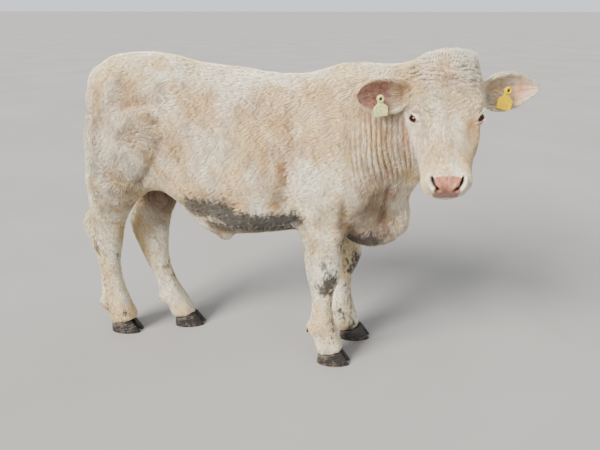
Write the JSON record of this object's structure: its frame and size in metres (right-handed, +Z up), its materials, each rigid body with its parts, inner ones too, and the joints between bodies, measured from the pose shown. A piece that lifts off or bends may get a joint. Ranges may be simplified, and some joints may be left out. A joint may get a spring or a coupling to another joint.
{
  "type": "charolais bull",
  "caption": "Life-size still model of a young polled cream-coloured beef bull, standing with its head turned to its right and a tag in each ear.",
  "frame": {"origin": "middle of the animal's bounding box, on the floor between its hooves", "axes": "+X forward along the back from rump to chest, +Y to the animal's left, +Z up; the head is turned to the animal's right, towards -Y"},
  "size_m": [1.712, 0.6192, 1.2648],
  "materials": {
    "coat": "short cream-white winter coat",
    "hoof": "dull dark horn",
    "eye": "wet gloss",
    "tag": "soft yellow plastic"
  },
  "bodies": {
    "root": {"head": "coat", "neck": "coat", "torso": "coat", "hindquarters": "coat", "right_forearm": "coat", "left_forearm": "coat", "right_fore_shank": "coat", "left_fore_shank": "coat", "right_hock": "coat", "left_hock": "coat", "right_hind_shank": "coat", "left_hind_shank": "coat", "tail": "coat", "tail_switch": "coat", "right_ear": "coat", "left_ear": "coat", "right_eye": "eye", "left_eye": "eye", "right_ear_tag": "tag", "left_ear_tag": "tag", "right_ear_tag_stud": "tag", "left_ear_tag_stud": "tag", "right_fore_outer_claw": "hoof", "right_fore_inner_claw": "hoof", "left_fore_outer_claw": "hoof", "left_fore_inner_claw": "hoof", "right_hind_outer_claw": "hoof", "right_hind_inner_claw": "hoof", "left_hind_outer_claw": "hoof", "left_hind_inner_claw": "hoof", "right_fore_outer_dewclaw": "hoof", "right_fore_inner_dewclaw": "hoof", "left_fore_outer_dewclaw": "hoof", "left_fore_inner_dewclaw": "hoof", "right_hind_outer_dewclaw": "hoof", "right_hind_inner_dewclaw": "hoof", "left_hind_outer_dewclaw": "hoof", "left_hind_inner_dewclaw": "hoof"}
  },
  "joints": []
}
